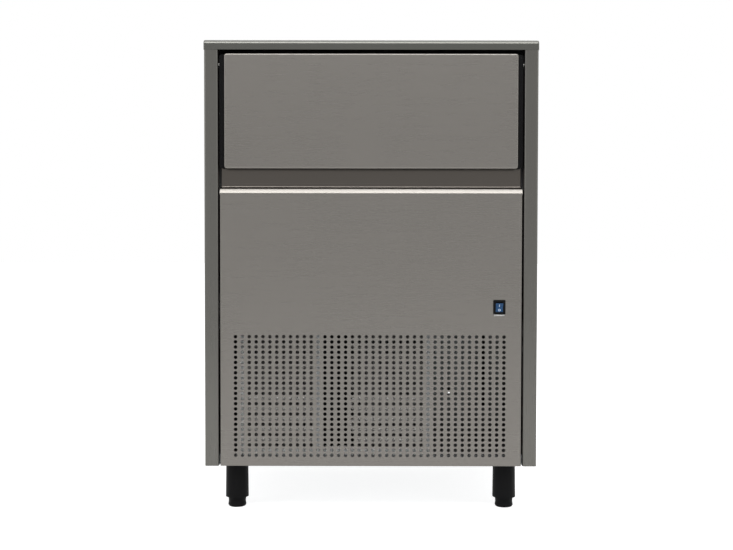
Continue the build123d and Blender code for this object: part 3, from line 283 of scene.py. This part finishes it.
def painted_group():
    """Orange peel of sprayed or drawn surfaces, with slow changes of shade."""
    group, start, end = new_group("sprayed_surface", finish_inputs, finish_outputs)
    peel = noise_in(group, start, 260.0, 1.0, stretched=False)
    cloud = noise_in(group, start, 9.0, 4.0, stretched=False)
    shade_by(group, start, end, cloud.outputs["Fac"])
    wire(group.nodes, (peel, "Fac", end, "Height"))
    return group


brushed_grain = brushed_group()
zinc_spangle = spangle_group()
moulded_texture = moulded_group()
sprayed_surface = painted_group()


def finish(name, effect, colour, roughness, metallic=0.0, colour_depth=0.1, roughness_depth=0.1,
           bump=0.1, stretch=(1.0, 1.0, 1.0), **sockets):
    """Principled material whose colour, roughness and relief come from one effect group."""
    material = bpy.data.materials.new(name)
    material.use_nodes = True
    nodes = material.node_tree.nodes
    shader = nodes["Principled BSDF"]
    shader.inputs["Metallic"].default_value = metallic
    for label, value in sockets.items():
        shader.inputs[label.replace("_", " ").title().replace("Ior", "IOR")].default_value = value
    place = nodes.new("ShaderNodeTexCoord")
    surface = nodes.new("ShaderNodeGroup")
    surface.node_tree = effect
    surface.inputs["Stretch"].default_value = stretch
    surface.inputs["Colour"].default_value = (*colour, 1)
    surface.inputs["Colour Depth"].default_value = colour_depth
    surface.inputs["Roughness"].default_value = roughness
    surface.inputs["Roughness Depth"].default_value = roughness_depth
    relief = nodes.new("ShaderNodeBump")
    relief.inputs["Strength"].default_value = bump
    relief.inputs["Distance"].default_value = 0.0004
    wire(nodes, (place, "Object", surface, "Coordinates"), (surface, "Colour", shader, "Base Color"),
         (surface, "Roughness", shader, "Roughness"), (surface, "Height", relief, "Height"),
         (relief, "Normal", shader, "Normal"))
    return material


def lay_grain(material, strength, turn):
    """Stretches the highlight across hairlines that run level round the cabinet."""
    nodes = material.node_tree.nodes
    shader = nodes["Principled BSDF"]
    shader.inputs["Anisotropic"].default_value = strength
    shader.inputs["Anisotropic Rotation"].default_value = turn
    tangent = nodes.new("ShaderNodeTangent")
    tangent.direction_type = "RADIAL"
    tangent.axis = "Z"
    wire(nodes, (tangent, "Tangent", shader, "Tangent"))


def dress(material, *names):
    """Gives a CAD node or a new piece one material all over."""
    for name in names:
        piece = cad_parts.get(name) or bpy.data.objects[name]
        piece.data.materials.clear()
        piece.data.materials.append(material)


level_steel = finish("level_brushed_steel", brushed_grain, (0.163, 0.154, 0.142), 0.28, 1.0,
                     0.10, 0.10, 0.06, (0.02, 1.0, 1.0))
lay_grain(level_steel, 0.6, 0.25)
# The side panels take a darker copy of the door's steel: painted shade, standing in for the darker room that the side
# flanges reflect.
upright_steel_painted_shade = finish("upright_brushed_steel_painted_shade", brushed_grain, (0.118, 0.115, 0.106), 0.28, 1.0,
                       0.10, 0.10, 0.06, (1.0, 1.0, 0.02))
lay_grain(upright_steel_painted_shade, 0.6, 0.0)
# The top panel takes a darker copy of the same steel: painted shade, standing in for the dark room that its front
# fascia reflects.
crosswise_steel_painted_shade = finish("crosswise_brushed_steel_painted_shade", brushed_grain, (0.100, 0.100, 0.092), 0.24, 1.0,
                         0.10, 0.10, 0.06, (1.0, 0.02, 0.02))
galvanised = finish("galvanised_sheet", zinc_spangle, (0.46, 0.48, 0.49), 0.42, 0.9, 0.30, 0.16, 0.05)
dress(upright_steel_painted_shade, "left_side_panel", "right_side_panel")
dress(level_steel, "door_skin")
dress(crosswise_steel_painted_shade, "top_panel")
# The sill in the recess under the door takes a darker copy of the level steel: painted shade where the door shades the
# recess.
sill_steel_painted_shade = finish("sill_brushed_steel_painted_shade", brushed_grain, (0.082, 0.074, 0.066), 0.20, 1.0,
                    0.10, 0.08, 0.05, (0.02, 1.0, 1.0))
lay_grain(sill_steel_painted_shade, 0.6, 0.25)
dress(sill_steel_painted_shade, "sill_panel")
dress(galvanised, "base_pan", "back_panel", "fan_arms")

# The condenser frame is a folded galvanised rail under both condensers, with a bright
# upright at the left end that shows through the second column of holes.
bright_zinc = finish("bright_zinc_upright", zinc_spangle, (0.88, 0.88, 0.87), 0.5, 0.1, 0.10, 0.12, 0.04)
dress(bright_zinc, "condenser_frame")

# Legs and feet. Four black moulded tubes are bolted under the pan, each with a screw
# foot that ends in a rounded pad.
black_moulding = finish("black_moulding", moulded_texture, (0.004, 0.004, 0.0043), 0.50, 0.0,
                        0.35, 0.14, 0.12, specular_ior_level=0.07)
dress(black_moulding, "leg_tubes", "front_left_foot", "front_right_foot", "rear_left_foot",
      "rear_right_foot", "fan_shroud")

# The hermetic compressor and the motors are black enamelled steel. The compressor
# stands on rubber mounts on the pan.
black_enamel = finish("black_enamel", sprayed_surface, (0.020, 0.020, 0.021), 0.30, 0.0,
                      0.3, 0.10, 0.10)
black_rubber = finish("black_rubber", moulded_texture, (0.028, 0.028, 0.028), 0.72, 0.0, 0.3, 0.15, 0.2)
dress(black_enamel, "compressor", "fan_motors", "pump_motor")
dress(black_rubber, "compressor_mounts")


# Condensers. Each is a stack of thin upright aluminium fins on level copper tubes,
# with U bends outside the end plates and a flange to the front at its right end.
def clear_selection():
    """Leaves edit mode and selects nothing."""
    if bpy.context.object and bpy.context.object.mode != "OBJECT":
        bpy.ops.object.mode_set(mode="OBJECT")
    bpy.ops.object.select_all(action="DESELECT")


def start_piece(name, add, **how):
    """New primitive with its place applied, open in edit mode."""
    clear_selection()
    add(**how)
    piece = bpy.context.object
    piece.name = name
    piece.data.name = name
    bpy.ops.object.transform_apply(location=True, rotation=True, scale=True)
    bpy.ops.object.mode_set(mode="EDIT")
    return piece


def end_piece(angle=30.0):
    """Back to object mode, with soft shading across gentle edges."""
    bpy.ops.object.mode_set(mode="OBJECT")
    bpy.ops.object.shade_smooth_by_angle(angle=math.radians(angle))
    return bpy.context.object


def pick(kind, test):
    """Selects the vertices, edges or faces whose middle passes the test."""
    bpy.ops.mesh.select_mode(type=kind)
    bpy.ops.mesh.select_all(action="DESELECT")
    mesh = bpy.context.object.data
    shape = bmesh.from_edit_mesh(mesh)
    if kind == "VERT":
        chosen = [v for v in shape.verts if test(v.co)]
    elif kind == "EDGE":
        chosen = [e for e in shape.edges if test((e.verts[0].co + e.verts[1].co) / 2)]
    else:
        chosen = [f for f in shape.faces if test(f.calc_center_median())]
    for part in chosen:
        part.select = True
    shape.select_flush_mode()
    bmesh.update_edit_mesh(mesh)
    return len(chosen)


def draw_out(x=0.0, y=0.0, z=0.0):
    """Extrudes the selection by a step."""
    bpy.ops.mesh.extrude_region_move(TRANSFORM_OT_translate={"value": (x, y, z)})


def add_box(low, high):
    """Box between two corners, as a primitive in the open mesh."""
    middle = [(a + b) / 2 for a, b in zip(low, high)]
    bpy.ops.mesh.primitive_cube_add(size=1.0, location=middle)
    bpy.ops.transform.resize(value=[b - a for a, b in zip(low, high)], center_override=middle)


def apply_modifiers(piece):
    """Applies every modifier in order."""
    for modifier in list(piece.modifiers):
        bpy.ops.object.modifier_apply(modifier=modifier.name)


def join_pieces(name, pieces):
    """One object out of several, the first one's materials first."""
    clear_selection()
    for piece in pieces:
        piece.select_set(True)
    bpy.context.view_layer.objects.active = pieces[0]
    bpy.ops.object.join()
    pieces[0].name = name
    pieces[0].data.name = name
    return pieces[0]


fin_pitch = 0.0036
fin_sheet = 0.0004
tube_pitch = 0.02655
tube_radius = 0.005
first_tube_z = 0.1746
plate_sheet = 0.0012
rank_gap = 0.022
fin_aluminium = finish("mill_aluminium", sprayed_surface, (0.30, 0.30, 0.30), 0.45, 0.7, 0.2, 0.15, 0.05)
dull_tube = finish("dull_tube", sprayed_surface, (0.50, 0.49, 0.47), 0.45, 0.5, 0.2, 0.15, 0.08)
# The upper tubes take a darker copy of the tube colour: painted shade where less light reaches the top of the
# condensers.
tube_painted_shade = finish("tube_painted_shade", sprayed_surface, (0.16, 0.155, 0.15), 0.6, 0.3, 0.2, 0.15, 0.08)
shade_painted_above = 0.295


def make_fins(name, low, high):
    """Row of thin upright fins, one primitive repeated by an array."""
    fins = start_piece(name, bpy.ops.mesh.primitive_cube_add, size=1.0, location=(0, 0, 0))
    bpy.ops.transform.resize(value=(fin_sheet, high.y - low.y - 0.004, high.z - low.z))
    bpy.ops.transform.translate(value=(low.x + fin_pitch, (low.y + high.y) / 2, (low.z + high.z) / 2))
    pick("EDGE", lambda m: abs(m.z - (low.z + high.z) / 2) < 0.001)
    bpy.ops.mesh.subdivide(number_cuts=1)
    bpy.ops.object.mode_set(mode="OBJECT")
    row = fins.modifiers.new("row", "ARRAY")
    row.use_relative_offset = False
    row.use_constant_offset = True
    row.constant_offset_displace = (fin_pitch, 0, 0)
    row.count = int((high.x - low.x) / fin_pitch) - 1
    apply_modifiers(fins)
    dress(fin_aluminium, name)
    return fins


def repeat(piece, step, count):
    """Merged array of a piece."""
    row = piece.modifiers.new("repeat", "ARRAY")
    row.use_relative_offset = False
    row.use_constant_offset = True
    row.constant_offset_displace = step
    row.count = count
    row.use_merge_vertices = True
    row.merge_threshold = 0.00002


def make_bends(name, start, side, count):
    """U bends at one end of the tubes, each from one tube to the next above it."""
    bend = start_piece(name + "_bend", bpy.ops.mesh.primitive_circle_add, vertices=12, radius=tube_radius,
                       fill_type="NGON", location=start, rotation=(0, math.pi / 2, 0))
    bpy.ops.mesh.select_all(action="SELECT")
    middle = (start[0], start[1], start[2] + tube_pitch / 2)
    bpy.ops.mesh.spin(steps=8, angle=side * math.pi, center=middle, axis=(0, 1, 0))
    bpy.ops.mesh.select_all(action="SELECT")
    bpy.ops.mesh.normals_make_consistent(inside=False)
    bpy.ops.object.mode_set(mode="OBJECT")
    repeat(bend, (0, 0, 2 * tube_pitch), count)
    repeat(bend, (0, rank_gap, 0), 2)
    apply_modifiers(bend)
    return bend


def make_tubes(name, low, high):
    """Level tubes through the fins, in two ranks, joined by U bends at the ends."""
    count = int((high.z - tube_radius - first_tube_z) / tube_pitch) + 1
    front = low.y + tube_radius + 0.001
    tubes = start_piece(name, bpy.ops.mesh.primitive_cylinder_add, vertices=12, radius=tube_radius,
                        depth=high.x - low.x, location=((low.x + high.x) / 2, front, first_tube_z),
                        rotation=(0, math.pi / 2, 0))
    bpy.ops.object.mode_set(mode="OBJECT")
    repeat(tubes, (0, 0, tube_pitch), count)
    repeat(tubes, (0, rank_gap, 0), 2)
    apply_modifiers(tubes)
    bends = [make_bends(name, (low.x, front, first_tube_z + tube_pitch), -1, count // 2),
             make_bends(name, (high.x, front, first_tube_z), 1, count // 2)]
    tubes = join_pieces(name, [tubes, *bends])
    bpy.ops.object.shade_smooth_by_angle(angle=math.radians(40))
    dress(dull_tube, name)
    # Tubes above that height get the darker copy: painted shade.
    tubes.data.materials.append(tube_painted_shade)
    for face in tubes.data.polygons:
        if face.center.z > shade_painted_above:
            face.material_index = 1
    return tubes


def make_plates(name, low, high, flange):
    """End plates of one condenser, the right one with a flange to the front."""
    plates = start_piece(name, bpy.ops.mesh.primitive_cube_add, size=1.0, location=(0, 0, 0))
    bpy.ops.mesh.delete(type="VERT")
    add_box((low.x, low.y, low.z), (low.x + plate_sheet, high.y, high.z))
    add_box((high.x - plate_sheet, low.y + plate_sheet, low.z), (high.x, high.y, high.z))
    add_box((high.x - plate_sheet, low.y, low.z), (high.x + flange, low.y + plate_sheet, high.z))
    bpy.ops.object.mode_set(mode="OBJECT")
    bevel = plates.modifiers.new("edge", "BEVEL")
    bevel.width = 0.0003
    bevel.segments = 2
    apply_modifiers(plates)
    dress(galvanised, name)
    return plates


def make_condenser(side, body):
    """Fins, tubes and plates in the box of one CAD condenser."""
    node = side + "_condenser"
    low, high = (Vector(c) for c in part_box("condenser_frame"))
    base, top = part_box("fan_shroud")[0][2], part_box("fan_shroud")[1][2]
    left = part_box(node)[0][0]
    low = Vector((left, low.y, base))
    high = Vector((left + 0.176, high.y, top))
    pieces = [make_fins(node + "_fins", low, high), make_tubes(node + "_tubes", low, high),
              make_plates(node + "_plates", low, high, 0.016)]
    for piece in pieces:
        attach(piece, body)
    return pieces


left_block = make_condenser("left", "cabinet")
right_block = make_condenser("right", "cabinet")
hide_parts("left_condenser")
dress(fin_aluminium, "right_condenser", "left_fan", "right_fan")
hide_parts("right_condenser")

# Refrigerant lines are bare copper: discharge and suction at the compressor, the
# liquid line with its filter drier, and the coil brazed on the evaporator's cups.
copper = finish("drawn_copper", sprayed_surface, (0.56, 0.25, 0.14), 0.30, 1.0, 0.35, 0.18, 0.08)
tinned_copper = finish("tinned_copper", sprayed_surface, (0.60, 0.58, 0.55), 0.28, 1.0, 0.2, 0.15, 0.06)
dress(copper, "discharge_line", "liquid_line", "suction_line", "filter_drier", "evaporator_coil")
dress(tinned_copper, "evaporator_cups")

# Water side. Basin, spray bars, pump casing, chamber and chute are grey food-safe
# mouldings; hoses are black rubber.
grey_moulding = finish("grey_moulding", moulded_texture, (0.30, 0.32, 0.335), 0.45, 0.0, 0.10, 0.10, 0.06)
dress(grey_moulding, "water_basin", "overflow_pipe", "spray_manifold", "pump_casing", "pump_impeller",
      "spray_chamber", "ice_chute", "evaporator_cover", "bin_drain", "drain_outlet",
      "water_inlet_valve", "control_box")
dress(black_rubber, "water_hose", "drain_hose")
dress(black_moulding, "cable_gland")

# Curtain. Four pale slats hang on a steel rod in front of the spray chamber and let
# the cubes push out over the chute.
pale_slat = finish("pale_slat", moulded_texture, (0.66, 0.72, 0.74), 0.32, 0.0, 0.06, 0.10, 0.03)
dress(pale_slat, "curtain_slat_1", "curtain_slat_2", "curtain_slat_3", "curtain_slat_4")
turned_steel = finish("turned_steel", brushed_grain, (0.52, 0.51, 0.49), 0.25, 1.0, 0.1, 0.1, 0.05,
                      (0.05, 1.0, 1.0))
dress(turned_steel, "curtain_rod", "door_axle")

# Bin. A white moulded liner sits in rigid foam; the door's slide blocks run in two
# white channels at its top.
white_moulding = finish("white_moulding", moulded_texture, (0.74, 0.75, 0.745), 0.35, 0.0, 0.05, 0.10, 0.03)
black_foam = finish("rigid_black_foam", moulded_texture, (0.020, 0.020, 0.021), 0.9, 0.0, 0.35, 0.1, 0.5)
dress(white_moulding, "bin_liner", "left_door_track", "right_door_track", "door_slide_blocks")
dress(black_foam, "bin_insulation", "top_insulation")

# Lower front panel. One stainless sheet folded at its sides, foot and top, with a
# field of forty by twenty-four punched round holes in front of the condensers.
hole_radius = 0.0045
hole_pitch_x = 0.01742
hole_pitch_z = 0.0131
hole_columns = 40
hole_rows = 24
cell_sides = 4
field_shift = -0.0028
first_hole_z = 0.142
sheet = 0.0012
fold_height = 0.01147
fold_depth = 0.00542
lower_softness = 0.0007
upper_softness = 0.002
fold_clearance = 0.005
cut_inset = 0.0017
edge_radius = 0.002
side_return = 0.014
foot_radius = 0.003
foot_depth = 0.025
panel_low, panel_high = (Vector(c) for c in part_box("front_panel"))
face_y = panel_low.y


def punched_cell():
    """One hole in its patch of sheet: a circle bridged to the patch's rim."""
    ring = 4 * cell_sides
    centre = (field_shift - (hole_columns - 1) / 2 * hole_pitch_x, face_y, first_hole_z)
    piece = start_piece("front_panel_sheet", bpy.ops.mesh.primitive_grid_add, x_subdivisions=cell_sides,
                        y_subdivisions=cell_sides, size=1.0, rotation=(math.pi / 2, 0, 0))
    bpy.ops.transform.resize(value=(hole_pitch_x, 1.0, hole_pitch_z))
    inside = 0.499
    pick("VERT", lambda m: abs(m.x) < inside * hole_pitch_x and abs(m.z) < inside * hole_pitch_z)
    bpy.ops.mesh.delete(type="VERT")
    bpy.ops.mesh.primitive_circle_add(vertices=ring, radius=hole_radius, rotation=(math.pi / 2, 0, 0))
    bpy.ops.mesh.select_mode(type="EDGE")
    bpy.ops.mesh.select_all(action="SELECT")
    bpy.ops.mesh.bridge_edge_loops()
    bpy.ops.mesh.select_all(action="SELECT")
    bpy.ops.transform.translate(value=centre)
    bpy.ops.object.mode_set(mode="OBJECT")
    return piece


def make_front_panel():
    """Punched field, drawn out to the folded edges, then thickened inwards."""
    piece = punched_cell()
    repeat(piece, (hole_pitch_x, 0, 0), hole_columns)
    repeat(piece, (0, 0, hole_pitch_z), hole_rows)
    apply_modifiers(piece)
    bpy.ops.object.mode_set(mode="EDIT")
    near = 0.00005
    field_low = first_hole_z - hole_pitch_z / 2
    field_high = first_hole_z + (hole_rows - 0.5) * hole_pitch_z
    field_left = field_shift - hole_columns / 2 * hole_pitch_x
    field_right = field_shift + hole_columns / 2 * hole_pitch_x
    foot_z = panel_low.z + foot_radius
    fold_z = panel_high.z - fold_height
    side_z = fold_z - fold_clearance
    pick("EDGE", lambda m: abs(m.z - field_low) < near)
    draw_out(z=foot_z - field_low)
    bpy.ops.mesh.select_mode(type="EDGE")
    bpy.ops.mesh.spin(steps=4, angle=-math.pi / 2, center=(0, face_y + foot_radius, foot_z), axis=(1, 0, 0))
    draw_out(y=foot_depth - foot_radius)
    pick("EDGE", lambda m: abs(m.z - field_high) < near)
    draw_out(z=side_z - field_high)
    draw_out(z=fold_clearance)
    draw_out(y=fold_depth, z=fold_height)
    draw_out(y=panel_high.y - face_y - fold_depth)
    for edge_x, end_x, step in ((field_left, panel_low.x, -1), (field_right, panel_high.x, 1)):
        pick("EDGE", lambda m: abs(m.x - edge_x) < near)
        draw_out(x=end_x - edge_x)
        pick("EDGE", lambda m: abs(m.x - end_x) < near and abs(m.y - face_y) < near and foot_z < m.z < side_z)
        draw_out(y=side_return)
    bpy.ops.mesh.select_all(action="SELECT")
    bpy.ops.mesh.remove_doubles(threshold=0.00002)
    corner = [panel_low.x, panel_high.x]
    pick("EDGE", lambda m: min(abs(m.x - c) for c in corner) < near and abs(m.y - face_y) < near
         and foot_z < m.z < side_z)
    bpy.ops.mesh.bevel(offset=edge_radius, segments=4, affect="EDGES")
    pick("EDGE", lambda m: abs(m.z - fold_z) < near)
    bpy.ops.mesh.bevel(offset=lower_softness, segments=3, affect="EDGES")
    pick("EDGE", lambda m: abs(m.z - panel_high.z) < near and abs(m.y - face_y - fold_depth) < near)
    bpy.ops.mesh.bevel(offset=upper_softness, segments=4, affect="EDGES")
    low, high = (Vector(c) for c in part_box("switch_housing"))
    switch = (low + high) / 2
    half_x, half_z = (high.x - low.x) / 2 - cut_inset, (high.z - low.z) / 2 - cut_inset
    for side in (-1, 1):
        for point, normal in (((switch.x + side * half_x, 0, 0), (1, 0, 0)),
                              ((0, 0, switch.z + side * half_z), (0, 0, 1))):
            pick("FACE", lambda m: abs(m.x - switch.x) < 0.06 and field_high < m.z < fold_z
                 and abs(m.y - face_y) < near)
            bpy.ops.mesh.bisect(plane_co=point, plane_no=normal)
    pick("FACE", lambda m: abs(m.x - switch.x) < half_x and abs(m.z - switch.z) < half_z
         and abs(m.y - face_y) < near)
    bpy.ops.mesh.delete(type="FACE")
    bpy.ops.mesh.select_all(action="SELECT")
    bpy.ops.mesh.normals_make_consistent(inside=False)
    shape = bmesh.from_edit_mesh(piece.data)
    shape.faces.ensure_lookup_table()
    front = max((f for f in shape.faces if abs(f.calc_center_median().y - face_y) < near), key=lambda f: f.calc_area())
    if front.normal.y > 0:
        bpy.ops.mesh.flip_normals()
    bpy.ops.object.mode_set(mode="OBJECT")
    wall = piece.modifiers.new("wall", "SOLIDIFY")
    wall.thickness = sheet
    wall.offset = -1.0
    wall.use_even_offset = True
    apply_modifiers(piece)
    bpy.ops.object.shade_smooth_by_angle(angle=math.radians(25))
    return piece


front_sheet = make_front_panel()
dress(level_steel, "front_panel_sheet")
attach(front_sheet, "cabinet")
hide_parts("front_panel")

# Switch. A black snap-in rocker switch with a clear blue rocker that carries the
# usual on and off marks in white.
blue_rocker = finish("blue_rocker", moulded_texture, (0.014, 0.058, 0.145), 0.22, 0.0, 0.1, 0.08, 0.02,
                     specular_ior_level=0.2)
dress(black_moulding, "switch_housing")
dress(blue_rocker, "switch_rocker")
white_print = finish("white_marks", moulded_texture, (0.62, 0.74, 0.88), 0.4, 0.0, 0.05, 0.05, 0.0)
mark_proud = 0.00012
rocker_tip = math.radians(10.0)
facet_tilt = math.radians(6.45)
facet_y = -0.00515
facet_z = 0.0056
pivot_y = -0.363


def lay_mark(piece, side):
    """Moves a mark from the origin to the middle of the upper or lower facet."""
    bpy.ops.object.mode_set(mode="OBJECT")
    low, high = (Vector(c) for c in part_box("switch_rocker"))
    pivot = Vector(((low.x + high.x) / 2, pivot_y, (low.z + high.z) / 2))
    piece.matrix_world = (Matrix.Translation(pivot) @ Matrix.Rotation(rocker_tip, 4, "X")
                          @ Matrix.Translation((0, facet_y, side * facet_z))
                          @ Matrix.Rotation(side * facet_tilt, 4, "X"))
    bpy.ops.object.transform_apply(location=True, rotation=True, scale=True)
    return piece


def make_switch_marks():
    """Upright bar on the upper half of the rocker and a ring on the lower half."""
    bar = start_piece("on_mark", bpy.ops.mesh.primitive_cube_add, size=1.0)
    bpy.ops.transform.resize(value=(0.0011, 2 * mark_proud, 0.0062))
    lay_mark(bar, 1)
    ring = start_piece("off_mark", bpy.ops.mesh.primitive_torus_add, major_radius=0.0026, minor_radius=0.0005,
                       major_segments=32, minor_segments=8, rotation=(math.pi / 2, 0, 0))
    bpy.ops.transform.resize(value=(1.0, 2 * mark_proud / 0.001, 1.0))
    lay_mark(ring, -1)
    bpy.ops.object.shade_smooth_by_angle(angle=math.radians(50))
    return join_pieces("switch_marks", [bar, ring])


switch_marks = make_switch_marks()
dress(white_print, "switch_marks")
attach(switch_marks, "switch_button")

# A pale strip lies on the sheet under the bezel: a painted highlight along the bezel's lower edge.
highlight_strip_width = 0.026
highlight_strip_height = 0.0042
highlight_strip_depth = 0.0007


def make_highlight_strip():
    """Pale strip with soft ends that lies on the sheet under the bezel: a painted highlight."""
    low, high = (Vector(c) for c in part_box("switch_housing"))
    middle = (low.x + high.x) / 2
    highlight_strip = start_piece("switch_highlight_strip", bpy.ops.mesh.primitive_cube_add, size=1.0)
    bpy.ops.transform.resize(value=(highlight_strip_width, highlight_strip_depth, highlight_strip_height))
    bpy.ops.transform.translate(value=(middle, face_y - highlight_strip_depth / 2, low.z - highlight_strip_height / 2 + 0.0002))
    bpy.ops.object.mode_set(mode="OBJECT")
    edge = highlight_strip.modifiers.new("edge", "BEVEL")
    edge.width = 0.0003
    edge.segments = 3
    apply_modifiers(highlight_strip)
    bpy.ops.object.shade_smooth_by_angle(angle=math.radians(50))
    return highlight_strip


highlight_strip = make_highlight_strip()
highlight_strip_paint = finish("painted_highlight_strip", moulded_texture, (0.60, 0.60, 0.59), 0.6, 0.0, 0.08, 0.1, 0.1)
dress(highlight_strip_paint, "switch_highlight_strip")
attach(highlight_strip, "cabinet")

# Door. A brushed steel pan with soft edges on a black moulded body, which swings up
# on an axle and slides back under the top.
dress(black_moulding, "door_inner")
